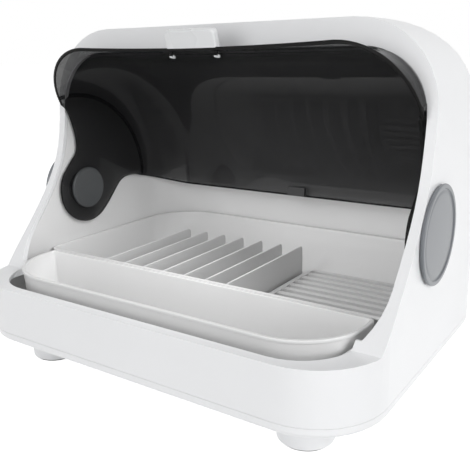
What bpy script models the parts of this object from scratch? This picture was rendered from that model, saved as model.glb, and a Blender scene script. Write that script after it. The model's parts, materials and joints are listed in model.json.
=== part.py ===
# UV sterilizer cabinet with a flip-up smoked lid, as an assembly of separate pieces.
# Metres and degrees, +Z up, the front faces -Y. The origin is on the ground under the body's middle.
import math

import bmesh
import bpy
from mathutils import Matrix

# Overall sizes
body_width = 0.400
body_depth = 0.324
body_height = 0.2782
foot_height = 0.0308
hinge_depth_share = 0.45679
hinge_above_ground = 0.1455

# Clearances and overrun
fit_gap = 0.0003
slide_gap = 0.0012
cut_overrun = 0.006

# Body shape
shell_wall = 0.003
front_corner_radius = 0.060
rear_corner_radius = 0.068
arch_radius = 0.070
back_top_radius = 0.042
back_lean = 0.0225
back_lean_height = 0.173
base_edge_radius = 0.0035
base_edge_steps = 3
pan_height = 0.008
pan_floor = 0.003
corner_steps = 10
arch_steps = 10
lean_steps = 4
small_round_steps = 4
sharp_above_degrees = 35.0

# Opening
side_rim_width = 0.008
front_rim_width = 0.009
rim_corner_half_width = 0.177
rim_corner_radius = 0.046
cheek_corner_radius = 0.050
cheek_corner_below_rim = 0.0128
header_height = 0.0215
opening_arch_radius = 0.054
rim_lip_thickness = 0.004
front_wall_height = 0.0515
header_from_hinge = 0.009
cheek_reach = 0.0915
cheek_steps = 14
cheek_bend_shares = ((0.0, 1.0), (0.090, 0.407), (0.045, 0.438), (1.0, 0.0))

# Chamber liner
liner_wall = 0.0022
chamber_floor_height = 0.0175

# Hinge
pin_radius = 0.005
pin_flange_radius = 0.011
pin_flange_thickness = 0.0018
pin_cap_engagement = 0.001
outer_cap_radius = 0.040
outer_cap_thickness = 0.0034
outer_cap_rim = 0.0035
outer_cap_recess = 0.0008
inner_cap_radius = 0.0220
inner_cap_thickness = 0.0024
inner_cap_setback = 0.0036
inner_cap_rim = 0.002
inner_cap_recess = 0.0006
washer_radius = 0.018
turned_steps = 32

# Visor
visor_side_gap = 0.0028
visor_wall = 0.0025
visor_back_gap = 0.0375
visor_top_gap = 0.025
visor_edge_flare = 0.0123
visor_edge_bow = 0.003
visor_shoulder = 0.0465
visor_ear_radius = 0.0365
visor_ear_setback = 0.0044
visor_ear_drop = 0.0014
visor_corner_trim = 5.0
visor_rear_angle = -6.5
visor_rear_flat_angle = -0.4
visor_front_angle = 107.3
visor_flare_angle = 12.0
visor_angle_steps = 28
visor_corner_steps = 6
visor_middle_steps = 6
visor_ear_steps = 14
visor_ear_front_angle = 148.0
visor_ear_rear_angle = 316.0
visor_front_waist_shares = (0.915, 0.837, 0.678, 0.539, 0.453, 0.407)
visor_front_waist_angles = (100.6, 99.7, 98.9, 100.5, 106.0, 120.0)
visor_rear_waist_shares = (0.411, 0.436, 0.470, 0.508, 0.583, 0.699, 0.851, 0.940)
visor_rear_waist_angles = (-33.0, -22.0, -13.8, -7.2, 0.1, 2.9, 2.1, 0.6)

# Grip on the visor's front edge
grip_width = 0.052
grip_height = 0.0165
grip_thickness = 0.0065
grip_from_edge = 0.001
grip_foot_steps = 3
peg_radius = 0.0027
peg_length = 0.0022
peg_round = 0.001
peg_shank_radius = 0.0014
peg_grip = 0.005
peg_spacing = 0.047
peg_from_edge = 0.0036
peg_steps = 16
peg_skin_gap = 0.0004

# Magnet clip on the visor's rear edge
clip_width = 0.021
clip_thickness = 0.003
clip_from_edge = 0.4
clip_span = 4.0
clip_offset = 0.0035

# Feet
foot_radius = 0.0227
foot_side_inset = 0.0605
foot_front_inset = 0.0515
foot_rear_inset = 0.060
foot_flare = 0.0015
foot_round = 0.002
pad_radius = 0.0205
pad_thickness = 0.0025
pad_stand = 0.0013

# Drain tray
tray_wall = 0.002
tray_rim_above_base = 0.0592
tray_rim_width = 0.0022
tray_rim_thickness = 0.0022
tray_front_setback = 0.094
tray_front_corner_radius = 0.012
tray_taper = 0.004
tray_lift_height = 0.015
tray_back_slope = 0.0415
tray_floor_rear_radius = 0.030
tray_slope_height_shares = (0.0, 0.3, 0.65, 1.0)
tray_slope_shares = (1.0, 0.57, 0.22, 0.0)

# Plate rack
divider_count = 7
divider_pitch = 0.025
last_divider_from_middle = 0.0295
divider_thickness = 0.002
divider_top_above_base = 0.0545
partition_rise = 0.001
divider_front_gap = 0.004
divider_corner_radius = 0.004
rack_base_thickness = 0.002
rack_left_margin = 0.040
rack_right_margin = 0.002
rack_back_margin = 0.010
rack_from_tray_back = 0.0535

# Cup rack
cup_rib_pitch = 0.013
cup_rib_width = 0.0065
cup_rib_height = 0.0062
cup_rib_sink = 0.0005
cup_frame_width = 0.005
cup_top_above_base = 0.0267
cup_rack_width = 0.140
cup_rack_from_tray_back = 0.049
cup_rack_rear_radius = 0.012

# Cutlery box
box_wall = 0.0024
box_rim_width = 0.0008
box_rim_thickness = 0.0030
box_rim_above_base = 0.0602
box_depth = 0.0715
box_front_gap = 0.010
box_side_gap = 0.015
box_front_corner_radius = 0.058
box_rear_corner_radius = 0.006
box_taper = 0.003

# UV lamp in the roof of the chamber
lamp_length = 0.160
lamp_depth = 0.034
lamp_thickness = 0.0105
lamp_wall = 0.0016
lamp_from_hinge = 0.008
lamp_corner_radius = 0.006
lens_thickness = 0.0016
board_thickness = 0.0012
led_count = 6
led_size = 0.0035
led_height = 0.0016

# Control board in the base
control_length = 0.070
control_depth = 0.046
control_thickness = 0.0016
control_from_back = 0.070
control_from_middle = 0.095
control_post_radius = 0.0035
control_post_height = 0.004
control_post_inset = 0.005
chip_size = 0.012
chip_height = 0.0018
coil_radius = 0.0045
coil_height = 0.004
coil_from_chip = 0.018

# Lid sensor above the roof of the chamber
sensor_length = 0.016
sensor_depth = 0.005
sensor_thickness = 0.0018

# Inlet in the back
jack_width = 0.011
jack_height = 0.0050
jack_depth = 0.012
jack_flange = 0.0007
jack_flange_thickness = 0.0012
jack_bore_radius = 0.0018
jack_offset = 0.095
jack_rise = 0.0011
jack_corner_radius = 0.0015

# Screws that hold the base pan to the liner's bosses
screw_head_radius = 0.0033
screw_head_height = 0.0018
screw_shank_radius = 0.0014
screw_bore_gap = 0.0003
screw_grip = 0.005
boss_radius = 0.004
screw_side_inset = 0.024
screw_end_inset = 0.052
screw_steps = 12

# Worked out from the sizes above
half_width = body_width / 2
y_front = -body_depth / 2
y_back = body_depth / 2
y_hinge = y_front + body_depth * hinge_depth_share
z_hinge = hinge_above_ground
z_bottom = foot_height
z_top = z_bottom + body_height
z_seam = z_bottom + pan_height
z_rim = z_bottom + front_wall_height
z_chamber = z_bottom + chamber_floor_height
liner_inset = side_rim_width - liner_wall
liner_front_inset = front_rim_width - liner_wall
chamber_half = half_width - side_rim_width
visor_half_width = chamber_half - visor_side_gap
visor_radius = min(y_back - y_hinge - visor_back_gap, z_top - z_hinge - visor_top_gap)
visor_edge_radius = visor_radius + visor_edge_flare
visor_flat_radius = visor_radius - visor_shoulder

for leftover in list(bpy.data.objects):
    bpy.data.objects.remove(leftover, do_unlink=True)

# Finishes: colour, roughness
white_plastic = ((0.80, 0.81, 0.82), 0.32)
tray_plastic = ((0.66, 0.67, 0.68), 0.40)
smoked_plastic = ((0.012, 0.012, 0.013), 0.08)
cap_plastic = ((0.31, 0.33, 0.35), 0.45)
inner_cap_plastic = ((0.12, 0.13, 0.14), 0.40)
dark_rubber = ((0.03, 0.03, 0.03), 0.80)
clear_plastic = ((0.75, 0.78, 0.80), 0.10)
black_plastic = ((0.02, 0.02, 0.02), 0.45)
board_green = ((0.03, 0.14, 0.07), 0.50)
bright_steel = ((0.62, 0.62, 0.61), 0.28)
visor_clearness = 0.5


def mesh_from(name, shape):
    """A closed mesh from points and faces, with its faces turned to point out."""
    points, faces = shape
    made = bpy.data.meshes.new(name)
    made.from_pydata(points, [], faces)
    work = bmesh.new()
    work.from_mesh(made)
    bmesh.ops.recalc_face_normals(work, faces=work.faces)
    work.to_mesh(made)
    work.free()
    return made


def put(name, shape, finish, metallic=0.0, pivot=(0, 0, 0)):
    """Link a named piece with its own material; its origin is moved to pivot."""
    made = bpy.data.objects.new(name, mesh_from(name, shape))
    bpy.context.scene.collection.objects.link(made)
    dress(made.data, name, finish, metallic)
    made.data.transform(Matrix.Translation([-along for along in pivot]))
    made.location = pivot
    return made


def dress(made, name, finish, metallic=0.0):
    """Give a mesh its own material and smooth shading, and return the material's shader."""
    surface = bpy.data.materials.new(name + "_finish")
    surface.use_nodes = True
    shader = surface.node_tree.nodes["Principled BSDF"]
    colour, roughness = finish
    shader.inputs["Base Color"].default_value = (*colour, 1)
    shader.inputs["Roughness"].default_value = roughness
    shader.inputs["Metallic"].default_value = metallic
    made.materials.append(surface)
    made.shade_smooth()
    made.set_sharp_from_angle(angle=math.radians(sharp_above_degrees))
    return shader


def carve(target, name, shape, operation="DIFFERENCE"):
    """Cut a shape out of a piece, or join it on, and return the hidden tool."""
    tool = bpy.data.objects.new(name, mesh_from(name, shape))
    bpy.context.scene.collection.objects.link(tool)
    tool.hide_render = True
    tool.display_type = "WIRE"
    step = target.modifiers.new(name, "BOOLEAN")
    step.operation = operation
    step.solver = "EXACT"
    step.object = tool
    return tool


def arc(centre, radius, start, end, steps):
    return [
        (centre[0] + radius * math.cos(start + (end - start) * i / steps),
         centre[1] + radius * math.sin(start + (end - start) * i / steps))
        for i in range(steps + 1)
    ]


def circle(centre, radius, steps=turned_steps):
    return arc(centre, radius, 0, 2 * math.pi, steps)[:-1]


def rounded(low, high, low_radius, high_radius, steps=corner_steps):
    """Counter-clockwise rounded rectangle between two corners; low and high radii are those of its two ends."""
    quarter = math.pi / 2
    ring = arc((high[0] - high_radius, high[1] - high_radius), high_radius, 0, quarter, steps)
    ring += arc((low[0] + high_radius, high[1] - high_radius), high_radius, quarter, 2 * quarter, steps)
    ring += arc((low[0] + low_radius, low[1] + low_radius), low_radius, 2 * quarter, 3 * quarter, steps)
    ring += arc((high[0] - low_radius, low[1] + low_radius), low_radius, 3 * quarter, 4 * quarter, steps)
    return ring


def loft(rings):
    """Skin (outline, height) rings of equal counts, given from the bottom up, and cap both ends."""
    count = len(rings[0][0])
    points = [(x, y, z) for ring, z in rings for x, y in ring]
    faces = []
    for low in range(0, count * (len(rings) - 1), count):
        for i in range(count):
            j = (i + 1) % count
            faces.append((low + i, low + j, low + count + j, low + count + i))
    faces.append(tuple(range(count)))
    faces.append(tuple(range(len(points) - count, len(points))))
    return points, faces


def prism(outline, low, high, axis="Z"):
    """Extrude an outline along an axis; outlines are (y, z) for X, (x, z) for Y and (x, y) for Z."""
    places = []
    for level in (low, high):
        for a, b in outline:
            places.append({"X": (level, a, b), "Y": (a, level, b), "Z": (a, b, level)}[axis])
    count = len(outline)
    faces = [(i, (i + 1) % count, count + (i + 1) % count, count + i) for i in range(count)]
    faces.append(tuple(range(count)))
    faces.append(tuple(range(count, 2 * count)))
    return places, faces


def block(low, high):
    return prism([(low[0], low[1]), (high[0], low[1]), (high[0], high[1]), (low[0], high[1])], low[2], high[2])


def together(shapes):
    """Several separate solids as one list of points and faces."""
    points = []
    faces = []
    for more_points, more_faces in shapes:
        faces += [tuple(index + len(points) for index in face) for face in more_faces]
        points += more_points
    return points, faces


def turned(profile, place, axis, steps=turned_steps):
    """Turn a closed profile of (radius, distance) pairs about an axis through place."""
    points = []
    starts = []
    for radius, along in profile:
        starts.append(len(points))
        for i in range(1 if radius == 0 else steps):
            a = radius * math.cos(2 * math.pi * i / steps)
            b = radius * math.sin(2 * math.pi * i / steps)
            offset = (along, a, b) if axis == "X" else (a, b, along)
            points.append(tuple(at + move for at, move in zip(place, offset)))
    faces = []
    for row in range(len(profile)):
        nxt = (row + 1) % len(profile)
        for i in range(steps):
            j = (i + 1) % steps
            near = [starts[row]] if profile[row][0] == 0 else [starts[row] + j, starts[row] + i]
            far = [starts[nxt]] if profile[nxt][0] == 0 else [starts[nxt] + i, starts[nxt] + j]
            if len(near) + len(far) > 2:
                faces.append(tuple(near + far))
    return points, faces


# The hull is the rounded block that the shell, the pan, the liner and the opening are cut from
def back_of_hull(z):
    share = max(z - z_bottom, 0) / back_lean_height
    return y_back - back_lean * (min(share, 1) ** 2 + 2 * max(share - 1, 0))


def hull(side, front, back, top_drop, low, arch):
    """The hull from height low up, with its faces moved in by side, front, back and top_drop."""
    top = z_top - top_drop
    top_radius = back_top_radius - back
    straight = top - arch
    levels = [low + (straight - low) * i / lean_steps for i in range(lean_steps)]
    levels += [straight + arch * math.sin(math.pi / 2 * i / arch_steps) for i in range(arch_steps + 1)]
    rings = []
    for z in levels:
        rise = max(z - straight, 0)
        drop = arch - math.sqrt(max(arch ** 2 - rise ** 2, 0))
        back_rise = max(z - (top - top_radius), 0)
        back_drop = top_radius - math.sqrt(max(top_radius ** 2 - back_rise ** 2, 0))
        half = half_width - side - drop
        rear = back_of_hull(z) - back - back_drop
        ring = rounded(
            (-half, y_front + front), (half, rear), front_corner_radius - front, rear_corner_radius - back)
        rings.append((ring, z))
    return loft(rings)


def cheek_line(offset):
    """Side view of the opening's edge from the header down to the front rim, moved back by offset."""
    start = (y_hinge - header_from_hinge, z_top)
    control = [
        (start[0] - cheek_reach * reach, z_rim + (start[1] - z_rim) * height)
        for reach, height in cheek_bend_shares
    ]
    line = []
    for i in range(cheek_steps + 1):
        t = i / cheek_steps
        weights = ((1 - t) ** 3, 3 * t * (1 - t) ** 2, 3 * t ** 2 * (1 - t), t ** 3)
        line.append(tuple(sum(w * point[k] for w, point in zip(weights, control)) for k in (0, 1)))
    moved = []
    for i, (y, z) in enumerate(line):
        before = line[max(i - 1, 0)]
        after = line[min(i + 1, cheek_steps)]
        length = math.dist(before, after)
        moved.append((y + offset * (before[1] - after[1]) / length, z - offset * (before[0] - after[0]) / length))
    return moved


def front_space(offset):
    """Everything in front of and above the opening's edge, across the whole width."""
    line = [point for point in cheek_line(offset) if point[1] > z_rim - offset + fit_gap]
    ahead = y_front - cut_overrun
    above = z_top + cut_overrun
    outline = [(ahead, z_rim - offset), (y_hinge - header_from_hinge - cheek_reach, z_rim - offset)]
    outline += list(reversed(line)) + [(line[0][0], above), (ahead, above)]
    reach = half_width + cut_overrun
    return prism(outline, -reach, reach, "X")


def build_shell():
    shell = put("cabinet_shell", hull(0, 0, 0, 0, z_seam, arch_radius), white_plastic)
    carve(shell, "shell_front_cut", front_space(0))
    below = z_seam - cut_overrun
    hollow = carve(
        shell, "shell_hollow",
        hull(shell_wall, shell_wall, shell_wall, shell_wall, below, arch_radius - shell_wall))
    carve(hollow, "shell_lip_kept", front_space(rim_lip_thickness))
    mouth = hull(
        side_rim_width, front_rim_width, shell_wall + slide_gap, header_height, below, opening_arch_radius)
    mouth_tool = carve(shell, "shell_mouth", mouth)
    for name, corners in (("rim_corners_kept", rim_corners()), ("cheek_corners_kept", cheek_corners())):
        kept = carve(mouth_tool, name, corners)
        carve(kept, name + "_limit", front_space(rim_lip_thickness), "INTERSECT")
    bores = [
        prism(circle((y_hinge, z_hinge), pin_radius + fit_gap), low, low + 2 * cut_overrun, "X")
        for low in (half_width - cut_overrun, -half_width - cut_overrun)
    ]
    carve(shell, "shell_pin_bores", together(bores))
    jack_low, jack_high = jack_corners(fit_gap)
    carve(shell, "shell_jack_hole", prism(
        rounded(jack_low, jack_high, jack_corner_radius, jack_corner_radius, small_round_steps),
        y_back - jack_depth, y_back + cut_overrun, "Y"))
    return shell


def rim_corners():
    """What the opening leaves standing in its two front corners, seen from above."""
    centre = (rim_corner_half_width - rim_corner_radius, y_front + front_rim_width + rim_corner_radius)
    far = half_width + cut_overrun
    ahead = y_front - cut_overrun
    right = arc(centre, rim_corner_radius, -math.pi / 2, 0, corner_steps)
    right += [(far, centre[1]), (far, ahead), (centre[0], ahead)]
    left = [(-x, y) for x, y in right]
    return together([prism(outline, z_chamber, z_rim + cut_overrun) for outline in (left, right)])


def cheek_corners():
    """What the opening leaves standing in its two lower corners, seen from the front."""
    bottom = z_rim - cheek_corner_below_rim
    centre = (chamber_half - cheek_corner_radius, bottom + cheek_corner_radius)
    far = half_width + cut_overrun
    right = arc(centre, cheek_corner_radius, -math.pi / 2, 0, corner_steps) + [(far, centre[1]), (far, bottom)]
    left = [(-x, z) for x, z in right]
    return together([prism(outline, y_front - cut_overrun, y_hinge, "Y") for outline in (left, right)])


def jack_corners(grow):
    """Low and high corners (x, z) of the inlet's body, grown by a clearance."""
    low = (jack_offset - jack_width / 2 - grow, z_seam + jack_rise - grow)
    high = (jack_offset + jack_width / 2 + grow, z_seam + jack_rise + jack_height + grow)
    return low, high


def build_pan():
    rings = []
    for i in range(base_edge_steps + 1):
        turn = math.pi / 2 * i / base_edge_steps
        inset = base_edge_radius * (1 - math.sin(turn))
        rings.append((pan_outline(inset), z_bottom + base_edge_radius * (1 - math.cos(turn))))
    rings.append((pan_outline(0), z_seam - fit_gap))
    pan = put("base_pan", loft(rings), white_plastic)
    inside = [(pan_outline(shell_wall), z) for z in (z_bottom + pan_floor, z_seam + cut_overrun)]
    carve(pan, "pan_hollow", loft(inside))
    holes = [
        prism(circle(place, screw_shank_radius + screw_bore_gap, screw_steps), z_bottom - cut_overrun, z_seam)
        for place in screw_places()
    ]
    carve(pan, "pan_screw_holes", together(holes))
    sunk = z_bottom + pan_floor - fit_gap
    posts = [
        prism(circle(place, control_post_radius, screw_steps), sunk, sunk + control_post_height)
        for place in control_post_places()
    ]
    carve(pan, "pan_posts", together(posts), "UNION")


def pan_outline(inset):
    half = half_width - inset
    rear = back_of_hull(z_seam) - inset
    return rounded(
        (-half, y_front + inset), (half, rear), front_corner_radius - inset, rear_corner_radius - inset)


def screw_places():
    """Three screws along the front and three along the back."""
    side = half_width - screw_side_inset
    reach = y_back - screw_end_inset
    return [(x, y) for x in (-side, 0, side) for y in (-reach, reach)]


def build_liner():
    liner = put("chamber_liner", hull(
        liner_inset, liner_front_inset, liner_inset, liner_inset,
        z_chamber - liner_wall, arch_radius - liner_inset), white_plastic)
    carve(liner, "liner_hollow", hull(
        side_rim_width, front_rim_width, side_rim_width, side_rim_width,
        z_chamber, arch_radius - side_rim_width))
    carve(liner, "liner_front_cut", front_space(rim_lip_thickness + fit_gap))
    bottom = z_bottom + pan_floor + fit_gap
    bosses = [
        prism(circle(place, boss_radius, screw_steps), bottom, z_chamber - liner_wall / 2)
        for place in screw_places()
    ]
    carve(liner, "liner_bosses", together(bosses), "UNION")
    bores = [
        prism(circle(place, screw_shank_radius + screw_bore_gap, screw_steps), bottom - fit_gap, bottom + screw_grip)
        for place in screw_places()
    ]
    carve(liner, "liner_boss_bores", together(bores))
    bore = prism(circle((y_hinge, z_hinge), pin_radius + fit_gap), -half_width, half_width, "X")
    carve(liner, "liner_pin_bores", bore)


def build_screws():
    head_low = z_bottom - fit_gap - screw_head_height
    tip = z_bottom + pan_floor + screw_grip - fit_gap
    profile = [
        (0, head_low), (screw_head_radius, head_low + screw_head_height / 2),
        (screw_head_radius, z_bottom - fit_gap), (screw_shank_radius, z_bottom - fit_gap),
        (screw_shank_radius, tip), (0, tip),
    ]
    for number, (x, y) in enumerate(screw_places(), 1):
        put(f"base_screw_{number}", turned(profile, (x, y, 0), "Z", screw_steps), bright_steel, 1.0)


def build_feet():
    side = half_width - foot_side_inset
    front = y_front + foot_front_inset
    rear = y_back - foot_rear_inset
    places = {
        "front_left": (-side, front), "front_right": (side, front),
        "rear_left": (-side, rear), "rear_right": (side, rear),
    }
    top = z_bottom - fit_gap
    for corner, (x, y) in places.items():
        profile = [(0, top), (foot_radius + foot_flare, top)]
        profile += [
            (foot_radius - foot_round + foot_round * math.cos(turn), pad_stand + foot_round * (1 - math.sin(turn)))
            for turn in (math.pi / 2 * i / small_round_steps for i in range(small_round_steps + 1))
        ]
        recess = pad_thickness + fit_gap
        profile += [(pad_radius + fit_gap, pad_stand), (pad_radius + fit_gap, recess), (0, recess)]
        put("foot_" + corner, turned(profile, (x, y, 0), "Z"), white_plastic)
        put("foot_pad_" + corner, prism(circle((x, y), pad_radius), 0, pad_thickness), dark_rubber)


def build_hinges():
    washer_high = chamber_half - fit_gap
    washer_low = visor_half_width + fit_gap
    flange_low = half_width - liner_inset + fit_gap
    pin_start = visor_half_width - visor_wall - pin_cap_engagement
    for side, label in ((-1, "left"), (1, "right")):
        place = (0, y_hinge, z_hinge)

        def about(profile):
            return turned([(radius, side * x) for radius, x in profile], place, "X")

        put("hinge_pin_" + label, about([
            (0, pin_start), (pin_radius, pin_start), (pin_radius, flange_low),
            (pin_flange_radius, flange_low), (pin_flange_radius, flange_low + pin_flange_thickness),
            (pin_radius, flange_low + pin_flange_thickness), (pin_radius, half_width), (0, half_width),
        ]), bright_steel, 1.0)
        bore = pin_radius + fit_gap
        put("friction_washer_" + label, about([
            (bore, washer_low), (washer_radius, washer_low), (washer_radius, washer_high), (bore, washer_high),
        ]), black_plastic)
        back = half_width + fit_gap
        face = back + outer_cap_thickness
        dish = outer_cap_radius - outer_cap_rim
        put("outer_cap_" + label, about([
            (0, back), (outer_cap_radius, back), (outer_cap_radius, face - outer_cap_recess),
            (outer_cap_radius - outer_cap_recess, face), (dish + outer_cap_recess, face),
            (dish, face - outer_cap_recess), (0, face - outer_cap_recess),
        ]), cap_plastic)
        ear = visor_half_width - visor_wall - fit_gap
        inner = ear - inner_cap_thickness
        small_dish = inner_cap_radius - inner_cap_rim
        points, faces = about([
            (0, inner + inner_cap_recess), (small_dish, inner + inner_cap_recess),
            (small_dish + inner_cap_recess, inner), (inner_cap_radius - inner_cap_recess, inner),
            (inner_cap_radius, inner + inner_cap_recess), (inner_cap_radius, ear), (bore, ear),
            (bore, pin_start - fit_gap), (0, pin_start - fit_gap),
        ])
        # The cap sits in the middle of the ear, a little behind the pin that ends in it
        points = [
            (x, y + inner_cap_setback if math.hypot(y - y_hinge, z - z_hinge) > bore + fit_gap else y, z)
            for x, y, z in points
        ]
        put("inner_cap_" + label, (points, faces), inner_cap_plastic, pivot=place)


def visor_radius_at(angle, across=1):
    """The visor's outer radius: steady, then flaring to its front edge, least in the middle, where across is 0."""
    share = max(angle - (visor_front_angle - visor_flare_angle), 0) / visor_flare_angle
    flare = visor_edge_flare - visor_edge_bow * (1 - across ** 2)
    return visor_radius + flare * share ** 2


def from_hinge(radius, angle):
    return (radius * math.cos(math.radians(angle)), radius * math.sin(math.radians(angle)))


def build_visor():
    """A cylinder about the hinge with rounded shoulders; its two flat sides narrow down to round ears, which sit a
    little behind and below the hinge.

    The outer skin is laid out as points, and Solidify then gives it its wall."""
    columns = 2 * visor_corner_steps + visor_middle_steps + 1
    points = []
    for row in range(visor_angle_steps + 1):
        share = row / visor_angle_steps
        for column in range(columns):
            turn_index = min(column, columns - 1 - column, visor_corner_steps)
            turn = math.pi / 2 * turn_index / visor_corner_steps
            rear = visor_rear_flat_angle + (visor_rear_angle - visor_rear_flat_angle) * math.sin(turn)
            front = visor_front_angle - visor_corner_trim * (1 - math.sin(turn)) ** 2
            angle = rear + (front - rear) * share
            across = min(max(2 * (column - visor_corner_steps) / visor_middle_steps - 1, -1), 1)
            shoulder = visor_radius_at(angle, across) - visor_flat_radius
            radius = visor_flat_radius + shoulder * math.sin(turn)
            side_x = visor_half_width - (visor_radius_at(angle) - visor_flat_radius) * (1 - math.cos(turn))
            y, z = from_hinge(radius, angle)
            points.append((across * side_x, y, z))
    faces = []
    for row in range(visor_angle_steps):
        for column in range(columns - 1):
            low = row * columns + column
            faces.append((low, low + columns, low + columns + 1, low + 1))
    for side in (-1, 1):
        edge_column = 0 if side < 0 else columns - 1
        arch = [row * columns + edge_column for row in range(visor_angle_steps + 1)]
        waist = [(share, angle) for share, angle in zip(visor_front_waist_shares, visor_front_waist_angles)]
        ear_share = visor_ear_radius / visor_flat_radius
        ear_span = visor_ear_rear_angle - visor_ear_front_angle
        waist += [
            (ear_share, visor_ear_front_angle + ear_span * i / visor_ear_steps)
            for i in range(visor_ear_steps + 1)
        ]
        waist += list(zip(visor_rear_waist_shares, visor_rear_waist_angles))
        start = len(points)
        for share, angle in waist:
            y, z = from_hinge(visor_flat_radius * share, angle)
            shift = 1 - share ** 2
            points.append((side * visor_half_width, y + visor_ear_setback * shift, z - visor_ear_drop * shift))
        outline = arch + list(range(start, len(points)))
        faces.append(tuple(outline) if side > 0 else tuple(reversed(outline)))
    made = bpy.data.meshes.new("visor")
    made.from_pydata(points, [], faces)
    shader = dress(made, "visor", smoked_plastic)
    shader.inputs["Transmission Weight"].default_value = visor_clearness
    visor = bpy.data.objects.new("visor", made)
    bpy.context.scene.collection.objects.link(visor)
    visor.location = (0, y_hinge, z_hinge)
    wall = visor.modifiers.new("wall", "SOLIDIFY")
    wall.thickness = visor_wall
    wall.offset = -1
    wall.use_even_offset = True
    bore = prism(circle((y_hinge, z_hinge), pin_radius + fit_gap), -half_width, half_width, "X")
    carve(visor, "visor_pin_bores", bore)


def on_visor(x, past_edge, out):
    """A place beside the middle of the visor's front edge: past_edge runs along the skin, out away from the hinge."""
    angle = visor_front_angle + math.degrees(past_edge / visor_edge_radius)
    y, z = from_hinge(visor_radius_at(visor_front_angle, 0) + out, angle)
    return x, y_hinge + y, z_hinge + z


def skin_drop(past_edge):
    """How far the middle of the visor's outer skin lies below its edge, that far from the edge."""
    angle = visor_front_angle + math.degrees(past_edge / visor_edge_radius)
    return visor_radius_at(angle, 0) - visor_radius_at(visor_front_angle, 0)


def build_grip():
    """A flat grip that stands on the visor's skin just behind its front edge, and two pegs that hold it."""
    near = -grip_from_edge
    far = near - grip_thickness
    foot = [(far + (near - far) * i / grip_foot_steps) for i in range(grip_foot_steps + 1)]
    side = [(past, skin_drop(past) + fit_gap) for past in foot]
    side += [(near, grip_height), (far, grip_height)]
    points = [on_visor(x, past, out) for x in (-grip_width / 2, grip_width / 2) for past, out in side]
    count = len(side)
    faces = [(i, (i + 1) % count, count + (i + 1) % count, count + i) for i in range(count)]
    faces += [tuple(range(count)), tuple(range(count, 2 * count))]
    pivot = (0, y_hinge, z_hinge)
    grip = put("visor_grip", (points, faces), white_plastic, pivot=pivot)
    middle = -peg_from_edge
    head_top = -visor_wall - peg_skin_gap
    head_low = head_top - peg_length
    profile = [
        (0, head_low), (peg_radius - peg_round, head_low), (peg_radius, head_low + peg_round), (peg_radius, head_top),
        (peg_shank_radius, head_top), (peg_shank_radius, peg_grip), (0, peg_grip),
    ]
    wide = peg_shank_radius + fit_gap
    bore = [(0, head_top), (wide, head_top), (wide, peg_grip + fit_gap), (0, peg_grip + fit_gap)]
    places = {"left": -peg_spacing / 2, "right": peg_spacing / 2}
    for label, x in places.items():
        put("grip_peg_" + label, peg_shape(profile, x, middle), white_plastic, pivot=pivot)
    bores = [peg_shape(bore, x, middle) for x in places.values()]
    carve(grip, "grip_bores", together(bores))
    carve(bpy.data.objects["visor"], "visor_peg_bores", together(bores))


def peg_shape(profile, x, past_edge):
    """A turned shape whose distances run out from the visor's sloping skin, so that its ends lie along the skin."""
    points, faces = turned(profile, (0, 0, 0), "Z", peg_steps)
    return [on_visor(x + a, past_edge + b, out + skin_drop(past_edge + b)) for a, b, out in points], faces


def build_clip():
    """The magnet clip under the visor's rear edge."""
    angle = visor_rear_angle + clip_from_edge
    inside = visor_radius - visor_wall - fit_gap
    points = []
    for x in (clip_offset - clip_width / 2, clip_offset + clip_width / 2):
        for radius, turn in (
            (inside - clip_thickness, angle), (inside, angle),
            (inside, angle + clip_span), (inside - clip_thickness, angle + clip_span),
        ):
            y, z = from_hinge(radius, turn)
            points.append((x, y_hinge + y, z_hinge + z))
    faces = [(i, (i + 1) % 4, 4 + (i + 1) % 4, 4 + i) for i in range(4)] + [(0, 1, 2, 3), (4, 5, 6, 7)]
    put("lid_magnet", (points, faces), black_plastic, pivot=(0, y_hinge, z_hinge))


# The wet side: tray, racks and cutlery box, all standing on the chamber's floor
tray_floor = z_chamber + fit_gap
tray_top = z_bottom + tray_rim_above_base
tray_half = chamber_half - slide_gap
tray_front = y_front + tray_front_setback
tray_back = back_of_hull(tray_top + tray_lift_height) - side_rim_width - slide_gap
tray_rear_radius = rear_corner_radius - side_rim_width - slide_gap


def tray_ring(inset, slope=0):
    """Plan outline of the tray; slope is the share of its back wall's forward slope."""
    rear_radius = tray_rear_radius - inset - (tray_rear_radius - tray_floor_rear_radius) * slope
    return rounded(
        (-tray_half + inset, tray_front + inset), (tray_half - inset, tray_back - inset - tray_back_slope * slope),
        max(tray_front_corner_radius - inset, tray_wall), rear_radius)


def tray_walls(inset, low, high):
    """Rings from the tray's floor to its rim: the sides taper, and the back wall curves forward to the floor."""
    return [
        (tray_ring(inset + tray_taper * (1 - height), slope), low + (high - low) * height)
        for height, slope in zip(tray_slope_height_shares, tray_slope_shares)
    ]


def build_tray():
    under_rim = tray_top - tray_rim_thickness
    tray = put("drain_tray", loft(
        tray_walls(tray_rim_width, tray_floor, under_rim) + [(tray_ring(0), under_rim), (tray_ring(0), tray_top)]),
        tray_plastic)
    wall = tray_rim_width + tray_wall
    carve(tray, "tray_hollow", loft(
        tray_walls(wall, tray_floor + tray_wall, tray_top) + [(tray_ring(wall), tray_top + cut_overrun)]))


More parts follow.
